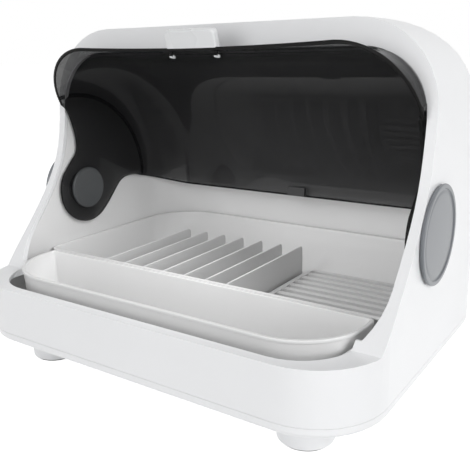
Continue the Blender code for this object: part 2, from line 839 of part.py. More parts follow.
def build_plate_rack():
    floor = tray_floor + tray_wall + fit_gap
    top = z_bottom + divider_top_above_base
    wall = tray_rim_width + tray_wall + tray_taper + slide_gap
    right = last_divider_from_middle + divider_thickness / 2 + rack_right_margin
    last = last_divider_from_middle
    first = last - divider_pitch * (divider_count - 1)
    left = first - rack_left_margin
    front = tray_front + wall
    back = tray_back - rack_from_tray_back
    base = rounded((left, front), (right, back), divider_thickness, divider_thickness, small_round_steps)
    rack = put("plate_rack", prism(base, floor, floor + rack_base_thickness), tray_plastic)
    plates = []
    start = front + divider_front_gap
    end = back - rack_back_margin
    for i in range(divider_count):
        x = first + divider_pitch * i
        height = top + (partition_rise if i == divider_count - 1 else 0)
        side = [(start, floor + rack_base_thickness / 2), (end, floor + rack_base_thickness / 2)]
        side += arc(
            (end - divider_corner_radius, height - divider_corner_radius),
            divider_corner_radius, 0, math.pi / 2, small_round_steps)
        side += [(start, height)]
        plates.append(prism(side, x - divider_thickness / 2, x + divider_thickness / 2, "X"))
    carve(rack, "rack_dividers", together(plates), "UNION")
    return right


def build_cup_rack(left):
    floor = tray_floor + tray_wall + fit_gap
    wall = tray_rim_width + tray_wall + tray_taper + slide_gap
    front = tray_front + wall
    low = (left + slide_gap, front)
    pitches = int((tray_back - cup_rack_from_tray_back - front) / cup_rib_pitch)
    high = (low[0] + cup_rack_width, low[1] + cup_rib_pitch * pitches)
    top = z_bottom + cup_top_above_base
    rack = put("cup_rack", prism(
        rounded(low, high, cup_frame_width, cup_rack_rear_radius, small_round_steps), floor, top), tray_plastic)
    inner_low = (low[0] + cup_frame_width, low[1] + cup_frame_width)
    inner_high = (high[0] - cup_frame_width, high[1] - cup_frame_width)
    carve(rack, "cup_rack_hollow", prism(
        rounded(inner_low, inner_high, divider_thickness, divider_thickness, small_round_steps),
        floor - cut_overrun, top + cut_overrun))
    ribs = []
    for i in range(1, pitches):
        y = low[1] + cup_rib_pitch * i
        ribs.append(block(
            (inner_low[0] - divider_thickness, y - cup_rib_width / 2, top - cup_rib_height),
            (inner_high[0] + divider_thickness, y + cup_rib_width / 2, top - cup_rib_sink)))
    carve(rack, "cup_rack_ribs", together(ribs), "UNION")


def box_ring(inset):
    front = y_front + front_rim_width + box_front_gap
    half = chamber_half - box_side_gap
    return rounded(
        (-half + inset, front + inset), (half - inset, front + box_depth - inset),
        box_front_corner_radius - inset, max(box_rear_corner_radius - inset, box_wall))


def build_cutlery_box():
    top = z_bottom + box_rim_above_base
    bottom = z_chamber + fit_gap
    under = top - box_rim_thickness
    box = put("cutlery_box", loft([
        (box_ring(box_rim_width + box_taper), bottom), (box_ring(box_rim_width), under),
        (box_ring(0), under), (box_ring(0), top),
    ]), tray_plastic)
    wall = box_rim_width + box_wall
    carve(box, "box_hollow", loft([
        (box_ring(wall + box_taper), bottom + box_wall), (box_ring(wall), top),
        (box_ring(wall), top + cut_overrun),
    ]))


def build_lamp():
    """The ultraviolet lamp under the chamber's roof: a shallow housing with a board, lamps and a clear cover."""
    roof = z_top - side_rim_width - fit_gap
    low = (-lamp_length / 2, y_hinge + lamp_from_hinge)
    high = (lamp_length / 2, low[1] + lamp_depth)
    base = roof - lamp_thickness
    housing = put("lamp_housing", prism(
        rounded(low, high, lamp_corner_radius, lamp_corner_radius, small_round_steps), base, roof), white_plastic)
    carve(housing, "lamp_hollow", prism(
        lamp_outline(low, high, lamp_wall), base - cut_overrun, roof - lamp_wall))
    board_top = roof - lamp_wall - fit_gap
    board_low = board_top - board_thickness
    put("led_board", prism(lamp_outline(low, high, lamp_wall + slide_gap), board_low, board_top), board_green)
    led_top = board_low - fit_gap
    spacing = lamp_length / (led_count + 1)
    y = (low[1] + high[1]) / 2
    for i in range(led_count):
        x = low[0] + spacing * (i + 1)
        put(f"uv_led_{i + 1}", block(
            (x - led_size / 2, y - led_size / 2, led_top - led_height),
            (x + led_size / 2, y + led_size / 2, led_top)), clear_plastic)
    put("lamp_lens", prism(
        lamp_outline(low, high, lamp_wall + fit_gap), base + fit_gap, base + fit_gap + lens_thickness), clear_plastic)


def lamp_outline(low, high, inset):
    radius = lamp_corner_radius - inset
    return rounded(
        (low[0] + inset, low[1] + inset), (high[0] - inset, high[1] - inset), radius, radius, small_round_steps)


def control_corner():
    return (control_from_middle - control_length / 2, y_back - control_from_back - control_depth / 2)


def control_post_places():
    low = control_corner()
    far = (low[0] + control_length - control_post_inset, low[1] + control_depth - control_post_inset)
    return [(x, y) for x in (low[0] + control_post_inset, far[0]) for y in (low[1] + control_post_inset, far[1])]


def build_control():
    low = control_corner()
    bottom = z_bottom + pan_floor + control_post_height
    top = bottom + control_thickness
    put("control_board", block(
        (low[0], low[1], bottom), (low[0] + control_length, low[1] + control_depth, top)), board_green)
    middle = (low[0] + control_length / 2, low[1] + control_depth / 2)
    base = top + fit_gap
    put("control_chip", block(
        (middle[0] - chip_size / 2, middle[1] - chip_size / 2, base),
        (middle[0] + chip_size / 2, middle[1] + chip_size / 2, base + chip_height)), black_plastic)
    put("control_coil", prism(
        circle((middle[0] + coil_from_chip, middle[1]), coil_radius, peg_steps), base, base + coil_height),
        black_plastic)
    sensor_low = z_top - side_rim_width + liner_wall + fit_gap
    put("lid_sensor", block(
        (clip_offset - sensor_length / 2, y_hinge + lamp_from_hinge, sensor_low),
        (clip_offset + sensor_length / 2, y_hinge + lamp_from_hinge + sensor_depth, sensor_low + sensor_thickness)),
        board_green)


def build_jack():
    low, high = jack_corners(0)
    face = back_of_hull(high[1]) - slide_gap
    inside = back_of_hull(high[1]) - shell_wall - slide_gap
    radius = jack_corner_radius
    jack = put("dc_jack", prism(rounded(low, high, radius, radius, small_round_steps), face - jack_depth, face, "Y"),
               black_plastic)
    flange_low = (low[0] - jack_flange, low[1] - jack_flange)
    flange_high = (high[0] + jack_flange, high[1] + jack_flange)
    carve(jack, "jack_flange", prism(
        rounded(flange_low, flange_high, radius, radius, small_round_steps),
        inside - jack_flange_thickness, inside, "Y"), "UNION")
    middle = ((low[0] + high[0]) / 2, (low[1] + high[1]) / 2)
    carve(jack, "jack_bore", prism(
        circle(middle, jack_bore_radius, peg_steps), face - jack_depth / 2, face + cut_overrun, "Y"))


build_shell()
build_pan()
build_liner()
build_screws()
build_feet()
build_hinges()
build_visor()
build_grip()
build_clip()
build_tray()
build_cup_rack(build_plate_rack())
build_cutlery_box()
build_lamp()
build_control()
build_jack()
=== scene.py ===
# UV sterilizer cabinet with a raised smoked lid: camera, light, finishes and fine pieces
import json
import math

import bmesh
import bpy
import numpy as np
from mathutils import Matrix, Vector


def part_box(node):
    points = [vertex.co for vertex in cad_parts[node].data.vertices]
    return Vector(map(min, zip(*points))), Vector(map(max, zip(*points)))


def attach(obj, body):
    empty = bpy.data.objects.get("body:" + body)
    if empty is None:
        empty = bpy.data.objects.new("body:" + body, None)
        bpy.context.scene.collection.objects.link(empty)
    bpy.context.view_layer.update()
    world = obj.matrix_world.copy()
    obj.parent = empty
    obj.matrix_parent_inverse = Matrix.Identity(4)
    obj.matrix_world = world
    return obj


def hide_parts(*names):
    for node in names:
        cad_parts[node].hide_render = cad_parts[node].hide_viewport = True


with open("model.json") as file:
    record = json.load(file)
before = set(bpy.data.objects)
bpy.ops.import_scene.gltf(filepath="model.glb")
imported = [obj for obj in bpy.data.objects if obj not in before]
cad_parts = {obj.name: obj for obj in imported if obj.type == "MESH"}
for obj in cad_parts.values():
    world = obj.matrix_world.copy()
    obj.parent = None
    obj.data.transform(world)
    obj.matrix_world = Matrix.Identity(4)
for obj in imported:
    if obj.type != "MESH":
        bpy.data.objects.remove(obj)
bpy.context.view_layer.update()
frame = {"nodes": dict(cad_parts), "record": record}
nodes = frame["nodes"]

# The camera, fitted to the photograph
CAMERA_PLACE = (0.3443, -0.5011, 0.2815)
CAMERA_AZIMUTH = 34.35
CAMERA_DOWN = 15.4
CAMERA_ROLL = -1.09
FOCAL_PIXELS = 649.0
PICTURE_PIXELS = 470.0
SENSOR_WIDTH = 36.0

# Light; a lamp is its name, place, aim, size and power
SKY_STRENGTH = 0.25
BACKDROP_STRENGTH = 1.0
FLOOR_COLOUR = (0.90, 0.90, 0.90)
FLOOR_ROUGHNESS = 0.9
FLOOR_LIFT = 0.82
FLOOR_HALF = 30.0
SOFTBOXES = (
    ("front softbox", (-0.25, -2.3, 0.75), (0, 0, 0.13), 1.5, 18.5),
    ("right softbox", (2.1, -0.3, 0.9), (0.2, 0, 0.15), 1.3, 24.0),
    ("top softbox", (0.3, -0.9, 2.0), (0, 0, 0.2), 1.3, 7.0),
)
CHAMBER_FILL = ("chamber fill", (0, -0.03, 0.235), (0, -0.03, 0), 0.16, 0.24)

# Finishes, as colour and roughness
HOUSING_WHITE = ((0.850, 0.856, 0.868), 0.30)
LINER_WHITE = ((0.82, 0.82, 0.82), 0.38)
TRAY_WHITE = ((0.80, 0.80, 0.80), 0.36)
RACK_WHITE = ((0.69, 0.69, 0.69), 0.36)
GRIP_WHITE = ((0.76, 0.77, 0.78), 0.28)
CAP_GREY = ((0.172, 0.183, 0.199), 0.30)
INNER_CAP_GREY = ((0.066, 0.070, 0.073), 0.34)
SMOKE = ((0.012, 0.012, 0.013), 0.045)
SMOKE_ALPHA = 0.645
LID_EDGE = ((0.004, 0.004, 0.004), 0.40)
RUBBER_DARK = ((0.028, 0.028, 0.028), 0.75)
MOULDED_BLACK = ((0.016, 0.016, 0.017), 0.40)
STEEL = ((0.62, 0.62, 0.61), 0.27)
BOARD_GREEN = ((0.025, 0.12, 0.06), 0.42)
CLEAR = ((0.80, 0.83, 0.85), 0.08)
CLEAR_ALPHA = 0.35

# How a moulded surface varies: soft clouds in shade and roughness, and a fine grain in the bump
CLOUD_DETAIL = 3.0
GRAIN_DETAIL = 2.0
GRAIN_STRENGTH = 0.5
ROUGHNESS_LEAST = 0.88
ROUGHNESS_MOST = 1.14
CAP_GRAIN = 1400.0

# Where the source puts things: the hinge, the hinge covers and the lid
FIT_GAP = 0.0003
HINGE = (-0.014, 0.1455)
CAP_BACK = 0.2003
CAP_THICKNESS = 0.0034
CAP_RADIUS = 0.040
INNER_CAP_FACE = 0.1840
INNER_CAP_BACK = 0.1864
INNER_CAP_RADIUS = 0.0220
INNER_CAP_SETBACK = 0.0036
LID_HALF = 0.1892
LID_WALL = 0.0025
LID_RADIUS = 0.1385
LID_FLAT = 0.092
LID_FLARE = 0.0123
LID_BOW = 0.003
LID_FRONT = 107.3
LID_TRIM = 5.0
LID_FLARE_SPAN = 12.0
LID_REAR = -6.5
LID_REAR_FLAT = -0.4
EAR_RADIUS = 0.0365
EAR_SETBACK = 0.0044
EAR_DROP = 0.0014
EAR_SPAN = (148.0, 316.0)
FRONT_WAIST = ((0.915, 100.6), (0.837, 99.7), (0.678, 98.9), (0.539, 100.5), (0.453, 106.0), (0.407, 120.0))
REAR_WAIST = ((0.411, -33.0), (0.436, -22.0), (0.470, -13.8), (0.508, -7.2), (0.583, 0.1), (0.699, 2.9),
              (0.851, 2.1), (0.940, 0.6))

# The lid's black parts: a strip along its front and rear edges, and a few rows of faces under the grip
BLACK_STRIP = 0.0016
BLACK_ROWS = 3
BLACK_HALF = 0.028

# The sockets of a colour Mix node
MIX_FACTOR = 0
MIX_FIRST = 6
MIX_SECOND = 7
MIX_RESULT = 2


def add_node(tree, kind, place, **values):
    """A shader node with its plain properties set."""
    made = tree.nodes.new(kind)
    made.location = place
    for name, value in values.items():
        setattr(made, name, value)
    return made


def add_noise(tree, spot, scale, detail, place):
    """A noise texture on Object coordinates."""
    noise = add_node(tree, "ShaderNodeTexNoise", place)
    noise.inputs["Scale"].default_value = scale
    noise.inputs["Detail"].default_value = detail
    tree.links.new(spot.outputs["Object"], noise.inputs["Vector"])
    return noise.outputs["Fac"]


def moulded(name, finish, grain=900.0, depth=0.00004, cloud=9.0, mottle=0.03, specular=0.5, metallic=0.0):
    """Moulded plastic: a faint cloudy change of shade and roughness, and a fine grain in the bump."""
    colour, roughness = finish
    surface = bpy.data.materials.new(name)
    surface.use_nodes = True
    tree = surface.node_tree
    shader = tree.nodes["Principled BSDF"]
    shader.inputs["Metallic"].default_value = metallic
    shader.inputs["Specular IOR Level"].default_value = specular
    spot = add_node(tree, "ShaderNodeTexCoord", (-1100, 0))
    clouds = add_noise(tree, spot, cloud, CLOUD_DETAIL, (-850, 200))
    shade = add_node(tree, "ShaderNodeMix", (-400, 250), data_type="RGBA")
    shade.inputs[MIX_FIRST].default_value = (*[c * (1 - mottle) for c in colour], 1)
    shade.inputs[MIX_SECOND].default_value = (*[min(c * (1 + mottle), 1) for c in colour], 1)
    tree.links.new(clouds, shade.inputs[MIX_FACTOR])
    tree.links.new(shade.outputs[MIX_RESULT], shader.inputs["Base Color"])
    gloss = add_node(tree, "ShaderNodeMapRange", (-400, 0))
    gloss.inputs["To Min"].default_value = roughness * ROUGHNESS_LEAST
    gloss.inputs["To Max"].default_value = roughness * ROUGHNESS_MOST
    tree.links.new(clouds, gloss.inputs["Value"])
    tree.links.new(gloss.outputs["Result"], shader.inputs["Roughness"])
    relief = add_node(tree, "ShaderNodeBump", (-400, -250))
    relief.inputs["Distance"].default_value = depth
    relief.inputs["Strength"].default_value = GRAIN_STRENGTH
    tree.links.new(add_noise(tree, spot, grain, GRAIN_DETAIL, (-850, -250)), relief.inputs["Height"])
    tree.links.new(relief.outputs["Normal"], shader.inputs["Normal"])
    return surface


def see_through(name, finish, alpha):
    """Tinted clear plastic: a gloss sheet that lets a share of the light straight through."""
    surface = moulded(name, finish, grain=420.0, depth=0.000006, cloud=6.0, mottle=0.06, specular=0.25)
    surface.node_tree.nodes["Principled BSDF"].inputs["Alpha"].default_value = alpha
    return surface


housing_finish = moulded("housing white", HOUSING_WHITE)
liner_finish = moulded("liner white", LINER_WHITE)
tray_finish = moulded("tray white", TRAY_WHITE)
rack_finish = moulded("rack white", RACK_WHITE)
grip_finish = moulded("grip white", GRIP_WHITE)
cap_finish = moulded("cap grey", CAP_GREY, grain=CAP_GRAIN)
inner_cap_finish = moulded("inner cap grey", INNER_CAP_GREY, grain=CAP_GRAIN)
smoke_finish = see_through("smoked lid", SMOKE, SMOKE_ALPHA)
lid_edge_finish = moulded("lid edge black", LID_EDGE, specular=0.12)
rubber_finish = moulded("pad rubber", RUBBER_DARK, grain=600.0, depth=0.00012)
black_finish = moulded("moulded black", MOULDED_BLACK)
steel_finish = moulded("bright steel", STEEL, grain=2200.0, metallic=1.0)
board_finish = moulded("board green", BOARD_GREEN, grain=300.0)
clear_finish = see_through("clear cover", CLEAR, CLEAR_ALPHA)


def wear(node_names, surface):
    """Give CAD nodes a finish."""
    for name in node_names:
        nodes[name].data.materials.clear()
        nodes[name].data.materials.append(surface)


def body_of(node):
    """The CAD body that a node rides on."""
    return next(body for body, names in frame["record"]["behaviour"]["bodies"].items() if node in names)


def settle(piece, node):
    """Make a piece ride with a node's body and stand for it."""
    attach(piece, body_of(node))
    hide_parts(node)


def linked(name, made):
    """An object for a mesh, put into the scene."""
    piece = bpy.data.objects.new(name, made)
    bpy.context.scene.collection.objects.link(piece)
    return piece


def finish_mesh(made, surfaces, smooth_below, close=1e-7):
    """Close poles and seams, turn the faces out, shade smooth up to an angle, and add the finishes."""
    work = bmesh.new()
    work.from_mesh(made)
    bmesh.ops.remove_doubles(work, verts=work.verts, dist=close)
    bmesh.ops.recalc_face_normals(work, faces=work.faces)
    work.to_mesh(made)
    work.free()
    for surface in surfaces:
        made.materials.append(surface)
    made.shade_smooth()
    made.set_sharp_from_angle(angle=math.radians(smooth_below))


def add_piece(name, points, faces, surfaces, node, smooth_below=38.0):
    """A new piece from an array of points and a list of faces, in the place of a CAD node."""
    made = bpy.data.meshes.new(name)
    made.from_pydata(np.asarray(points).reshape(-1, 3).tolist(), [], faces)
    finish_mesh(made, surfaces, smooth_below)
    piece = linked(name, made)
    settle(piece, node)
    return piece


def round_edges(piece, width, steps, above):
    """A bevel on the edges that turn by more than an angle."""
    rounding = piece.modifiers.new("edge rounding", "BEVEL")
    rounding.width = width
    rounding.segments = steps
    rounding.limit_method = "ANGLE"
    rounding.angle_limit = math.radians(above)


def merged_copy(node, name, surface, bevel=0.0, steps=2, smooth_below=32.0, close=0.00001, flat_within=0.6,
                bevel_above=40.0):
    """A CAD node's own shape, its triangles joined, its flats dissolved and its edges slightly rounded."""
    piece = linked(name, nodes[node].data.copy())
    piece.data.materials.clear()
    work = bmesh.new()
    work.from_mesh(piece.data)
    bmesh.ops.remove_doubles(work, verts=work.verts, dist=close)
    bmesh.ops.dissolve_limit(work, angle_limit=math.radians(flat_within), verts=work.verts, edges=work.edges)
    work.to_mesh(piece.data)
    work.free()
    piece.data.materials.append(surface)
    piece.data.shade_smooth()
    piece.data.set_sharp_from_angle(angle=math.radians(smooth_below))
    if bevel:
        round_edges(piece, bevel, steps, bevel_above)
    settle(piece, node)


def grid_faces(rows, columns, wrap_columns=True):
    """Quads between neighbouring points of a grid laid out row by row."""
    row = np.arange(rows - 1)[:, None] * columns
    column = np.arange(columns if wrap_columns else columns - 1)[None, :]
    following = (column + 1) % columns
    above = row + columns
    quads = np.stack([row + column, row + following, above + following, above + column], axis=-1)
    return quads.reshape(-1, 4).tolist()


def capped(rings):
    """Points and faces of a stack of closed rings, (rings, count, 3), with a face across each end."""
    rings = np.asarray(rings)
    rows, columns = rings.shape[:2]
    faces = grid_faces(rows, columns)
    faces.append(list(range(columns))[::-1])
    faces.append(list(range((rows - 1) * columns, rows * columns)))
    return rings.reshape(-1, 3), faces


def rounded_ring(low, high, low_radius, high_radius, steps=24):
    """Rounded rectangle in plan: four quarter circles, each centred its radius in from its corner."""
    quarter = np.linspace(0, np.pi / 2, steps + 1)
    corners = ((high[0] - high_radius, high[1] - high_radius, high_radius),
               (low[0] + high_radius, high[1] - high_radius, high_radius),
               (low[0] + low_radius, low[1] + low_radius, low_radius),
               (high[0] - low_radius, low[1] + low_radius, low_radius))
    arcs = []
    for k, (x, y, radius) in enumerate(corners):
        turn = quarter + k * np.pi / 2
        arcs.append(np.stack([x + radius * np.cos(turn), y + radius * np.sin(turn)], axis=1))
    return np.concatenate(arcs)


def level(ring, z):
    """A plan ring raised to a height."""
    return np.column_stack([ring, np.full(len(ring), z)])


def turned(profile, centre, axis, side=1, steps=96):
    """Points and faces of a profile of (radius, distance) pairs turned about an axis through a centre."""
    profile = np.asarray(profile, float)
    turn = np.linspace(0, 2 * np.pi, steps, endpoint=False)
    radius = profile[:, 0][:, None]
    along = np.broadcast_to(profile[:, 1][:, None], (len(profile), steps))
    first = radius * np.cos(turn)
    second = radius * np.sin(turn)
    order = (side * along, first, second) if axis == "X" else (first, second, along)
    points = np.stack(order, axis=-1) + np.asarray(centre)
    return points.reshape(-1, 3), grid_faces(len(profile), steps)


def fillet(centre, radius, start, end, steps=5):
    """Profile points on an arc about a centre, from one angle to another in degrees."""
    turn = np.radians(np.linspace(start, end, steps + 1))
    return [(centre[0] + radius * math.cos(a), centre[1] + radius * math.sin(a)) for a in turn]


def flowing_line(points, steps=6):
    """A smooth line through points: on each span a cubic whose end slopes follow the neighbours."""
    points = np.asarray(points, float)
    ahead = np.vstack([2 * points[0] - points[1], points, 2 * points[-1] - points[-2]])
    t = np.linspace(0, 1, steps, endpoint=False)[:, None]
    spans = []
    for i in range(len(points) - 1):
        p0, p1, p2, p3 = ahead[i:i + 4]
        spans.append(0.5 * (2 * p1 + (p2 - p0) * t + (2 * p0 - 5 * p1 + 4 * p2 - p3) * t ** 2
                            + (3 * p1 - p0 - 3 * p2 + p3) * t ** 3))
    return np.vstack(spans + [points[-1:]])


# The lid
def lid_radius(angle, across):
    """The skin's radius: steady, then growing with the square of the flare's share, least at mid width."""
    share = np.maximum(angle - (LID_FRONT - LID_FLARE_SPAN), 0) / LID_FLARE_SPAN
    return LID_RADIUS + (LID_FLARE - LID_BOW * (1 - across ** 2)) * share ** 2


def about_hinge(radius, angle):
    """Polar places about the hinge, as y and z."""
    return HINGE[0] + radius * np.cos(np.radians(angle)), HINGE[1] + radius * np.sin(np.radians(angle))


def on_flat(share, angle):
    """A place on the lid's flat side, counted from the hinge: a share of the side's radius, at an angle."""
    return LID_FLAT * share * math.cos(math.radians(angle)), LID_FLAT * share * math.sin(math.radians(angle))


def waist(stations, before, after):
    """The smooth line through a waist's stations that flows on to the places before and after them."""
    return flowing_line([before] + [on_flat(share, angle) for share, angle in stations] + [after])[1:-1]


def side_outline(ear_points=49):
    """A lid side below the cylinder: front waist, round ear, rear waist. The setback and the drop move it,
    times one less the square of the radius as a share of the flat radius."""
    ear = np.radians(np.linspace(EAR_SPAN[0], EAR_SPAN[1], ear_points))
    ear_line = np.stack([EAR_RADIUS * np.cos(ear), EAR_RADIUS * np.sin(ear)], axis=1)
    outline = np.vstack([waist(FRONT_WAIST, on_flat(1, LID_FRONT - LID_TRIM), ear_line[0]), ear_line,
                         waist(REAR_WAIST, ear_line[-1], on_flat(1, LID_REAR_FLAT))])
    shift = 1 - (outline ** 2).sum(axis=1, keepdims=True) / LID_FLAT ** 2
    return outline + shift * np.array([EAR_SETBACK, -EAR_DROP])


def build_lid(rows=97, shoulder=16, middle=24, edge_round=0.0006, round_above=50.0):
    """The smoked lid: a cylinder about the hinge with quarter-round shoulders and flat sides. Towards the
    sides its front edge steps back, by the trim times the square of one less the sine of the turn."""
    columns = 2 * shoulder + middle + 1
    column = np.arange(columns)
    turn = np.minimum(np.minimum(column, columns - 1 - column), shoulder) * (np.pi / 2 / shoulder)
    across = np.clip(2 * (column - shoulder) / middle - 1, -1, 1)
    strip = BLACK_STRIP / (LID_RADIUS * math.radians(LID_FRONT - LID_REAR))
    share = np.concatenate([[0], np.linspace(strip, 1 - strip, rows - 2), [1]])[:, None]
    rear = LID_REAR_FLAT + (LID_REAR - LID_REAR_FLAT) * np.sin(turn)
    front = LID_FRONT - LID_TRIM * (1 - np.sin(turn)) ** 2
    angle = rear + (front - rear) * share
    radius = LID_FLAT + (lid_radius(angle, across) - LID_FLAT) * np.sin(turn)
    x = across * (LID_HALF - (lid_radius(angle, 1) - LID_FLAT) * (1 - np.cos(turn)))
    y, z = about_hinge(radius, angle)
    points = np.stack([x, y, z], axis=-1).reshape(-1, 3)
    faces = grid_faces(rows, columns, wrap_columns=False)
    outline = side_outline() + np.asarray(HINGE)
    for side in (-1, 1):
        start = len(points)
        points = np.vstack([points, np.column_stack([np.full(len(outline), side * LID_HALF), outline])])
        edge = (np.arange(rows) * columns + (0 if side < 0 else columns - 1)).tolist()
        ring = edge + list(range(start, len(points)))
        faces.append(ring if side > 0 else ring[::-1])
    made = bpy.data.meshes.new("lid")
    made.from_pydata(points.tolist(), [], faces)
    for surface in (smoke_finish, lid_edge_finish):
        made.materials.append(surface)
    black = np.zeros((rows - 1, columns - 1), int)
    black[[0, -1]] = 1
    black[-BLACK_ROWS:, np.abs(x[-1, :-1] + x[-1, 1:]) / 2 < BLACK_HALF] = 1
    for face, index in zip(made.polygons, black.ravel().tolist()):
        face.material_index = index
    made.shade_smooth()
    lid = linked("lid", made)
    wall = lid.modifiers.new("wall", "SOLIDIFY")
    wall.thickness = LID_WALL
    wall.offset = -1
    wall.use_even_offset = True
    wall.material_offset_rim = 1
    round_edges(lid, edge_round, 2, round_above)
    settle(lid, "visor")


def edge_angle(past_edge):
    """The angle about the hinge, that far along the skin past the middle of the lid's front edge."""
    return LID_FRONT + np.degrees(past_edge / (LID_RADIUS + LID_FLARE))


def on_lid(x, past_edge, out):
    """Places by the middle of the lid's front edge: past it along the skin, and out from its radius."""
    y, z = about_hinge(lid_radius(LID_FRONT, 0) + out, edge_angle(past_edge))
    return np.stack([np.broadcast_to(x, np.shape(y)), y, z], axis=-1)


def skin_drop(past_edge):
    """How far the skin lies below its front edge, that far from the edge."""
    return lid_radius(edge_angle(past_edge), 0) - lid_radius(LID_FRONT, 0)


def build_grip(width=0.052, height=0.0165, thick=0.0065, from_edge=0.001, corner=0.0042, edge=0.0013,
               steps=6, corner_steps=8, smooth_below=40.0):
    """The grip: its front outline, square at the skin and rounded at the top corners, swept back through its
    thickness and drawn in by a quarter circle at the front and back edges."""
    quarter = np.linspace(0, np.pi / 2, steps + 1)
    near = [(edge * (1 - math.sin(q)), edge * (1 - math.cos(q))) for q in quarter]
    far = [(inset, thick - depth) for inset, depth in near[::-1]]
    rings = []
    for inset, depth in near + far:
        half = width / 2 - inset
        top = height - inset
        right = fillet((half - corner, top - corner), corner, 0, 90, corner_steps)
        left = fillet((corner - half, top - corner), corner, 90, 180, corner_steps)
        past = -from_edge - depth
        foot = float(skin_drop(np.array(past))) + FIT_GAP
        outline = np.array([(half, foot)] + right + left + [(-half, foot)])
        rings.append(on_lid(outline[:, 0], np.full(len(outline), past), outline[:, 1]))
    points, faces = capped(rings)
    add_piece("lid_grip", points, faces, [grip_finish], "visor_grip", smooth_below)


def build_pegs(spacing=0.047, middle=-0.0036, radius=0.0027, length=0.0022, top=-0.0029, dome=0.0010,
               shank=0.0014, shank_end=0.005, dome_steps=6, round_steps=40, into_shank=0.0002):
    """The two pegs under the grip, sheared along the skin: round heads drawn in by a quarter circle at the
    free end, and dark shanks that run up through the lid."""
    low = top - length
    profile = [(0.0, low)] + [
        (radius - dome + dome * math.sin(q), low + dome * (1 - math.cos(q)))
        for q in np.linspace(0, math.pi / 2, dome_steps + 1)]
    profile = np.array(profile + [(radius, top), (shank, top), (shank, shank_end), (0.0, shank_end)])
    turn = np.linspace(0, 2 * np.pi, round_steps, endpoint=False)
    head_end = lid_radius(LID_FRONT, 0) + skin_drop(middle) + top
    for label, x in (("left", -spacing / 2), ("right", spacing / 2)):
        across = x + profile[:, :1] * np.cos(turn)
        past = middle + profile[:, :1] * np.sin(turn)
        points = on_lid(across, past, profile[:, 1:] + skin_drop(past))
        piece = add_piece("grip_pin_" + label, points, grid_faces(len(profile), round_steps),
                          [grip_finish, lid_edge_finish], "grip_peg_" + label)
        for face in piece.data.polygons:
            reach = math.hypot(face.center[1] - HINGE[0], face.center[2] - HINGE[1])
            face.material_index = int(reach > head_end + into_shank)


# The hinge covers: pairs of a distance in from the rim and a depth below the face
CAP_DISH = ((0.0042, 0.0009), (0.0056, 0.0010), (0.0062, 0.0007), (0.0085, 0.00062))
INNER_CAP_DISH = ((0.0038, 0.0005), (0.0028, 0.0002))


def build_outer_cap(side, label, rim_round=0.0011, inner_round=0.0005, rim_width=0.0034, foot_round=0.0003,
                    foot_height=0.0005, middle_depth=0.0006):
    """A cover on the side wall: a turned profile with a rounded rim round a shallow dish."""
    face = CAP_BACK + CAP_THICKNESS
    edge = CAP_RADIUS - rim_round
    profile = [(0.0, CAP_BACK), (edge, CAP_BACK), (edge + foot_round, CAP_BACK + foot_height)]
    profile += fillet((edge, face - rim_round), rim_round, 0, 90)
    profile += fillet((CAP_RADIUS - rim_width, face - inner_round), inner_round, 90, 180)
    profile += [(CAP_RADIUS - inset, face - depth) for inset, depth in CAP_DISH]
    profile += [(0.0, face - middle_depth)]
    points, faces = turned(profile, (0, HINGE[0], HINGE[1]), "X", side)
    add_piece("hinge_cover_outer_" + label, points, faces, [cap_finish], "outer_cap_" + label)


def build_inner_cap(side, label, rim_round=0.0008, inner_round=0.0006, rim_width=0.0018):
    """A cover inside a lid ear, set back from the hinge: a low turned rim round a shallow dish."""
    face = INNER_CAP_FACE
    radius = INNER_CAP_RADIUS
    profile = [(0.0, face + INNER_CAP_DISH[0][1])]
    profile += [(radius - inset, face + depth) for inset, depth in INNER_CAP_DISH]
    profile += fillet((radius - rim_width, face + inner_round), inner_round, 250, 270, 3)
    profile += fillet((radius - rim_round, face + rim_round), rim_round, 270, 360)
    profile += [(radius, INNER_CAP_BACK), (0.0, INNER_CAP_BACK)]
    points, faces = turned(profile, (0, HINGE[0] + INNER_CAP_SETBACK, HINGE[1]), "X", side)
    add_piece("hinge_cover_inner_" + label, points, faces, [inner_cap_finish], "inner_cap_" + label)


def build_caps():
    """The four hinge covers."""
    for side, label in ((-1, "left"), (1, "right")):
        build_outer_cap(side, label)
        build_inner_cap(side, label)


def build_feet(radius=0.0227, flare=0.0015, rounding=0.002, stand=0.0013, top=0.0305, waist_flare_share=0.4,
               waist_height_share=0.45, pad=0.0205, pad_thick=0.0025, pad_round=0.0006):
    """The feet: short flared drums with a rounded lower edge and a rubber disc let into each."""
    for corner in ("front_left", "front_right", "rear_left", "rear_right"):
        low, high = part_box("foot_" + corner)
        centre = ((low[0] + high[0]) / 2, (low[1] + high[1]) / 2, 0)
        recess = pad_thick + FIT_GAP
        profile = [(0.0, recess), (pad + FIT_GAP, recess), (pad + FIT_GAP, stand)]
        profile += fillet((radius - rounding, stand + rounding), rounding, 270, 360)
        waist_height = stand + rounding + (top - stand) * waist_height_share
        profile += [(radius + flare * waist_flare_share, waist_height)]
        profile += [(radius + flare, top), (0.0, top)]
        points, faces = turned(profile, centre, "Z")
        add_piece("foot_drum_" + corner, points, faces, [housing_finish], "foot_" + corner)
        profile = [(0.0, 0.0), (pad - pad_round, 0.0)]
        profile += fillet((pad - pad_round, pad_round), pad_round, 270, 360, 3)
        profile += [(pad, pad_thick), (0.0, pad_thick)]
        points, faces = turned(profile, centre, "Z")
        add_piece("foot_disc_" + corner, points, faces, [rubber_finish], "foot_pad_" + corner)


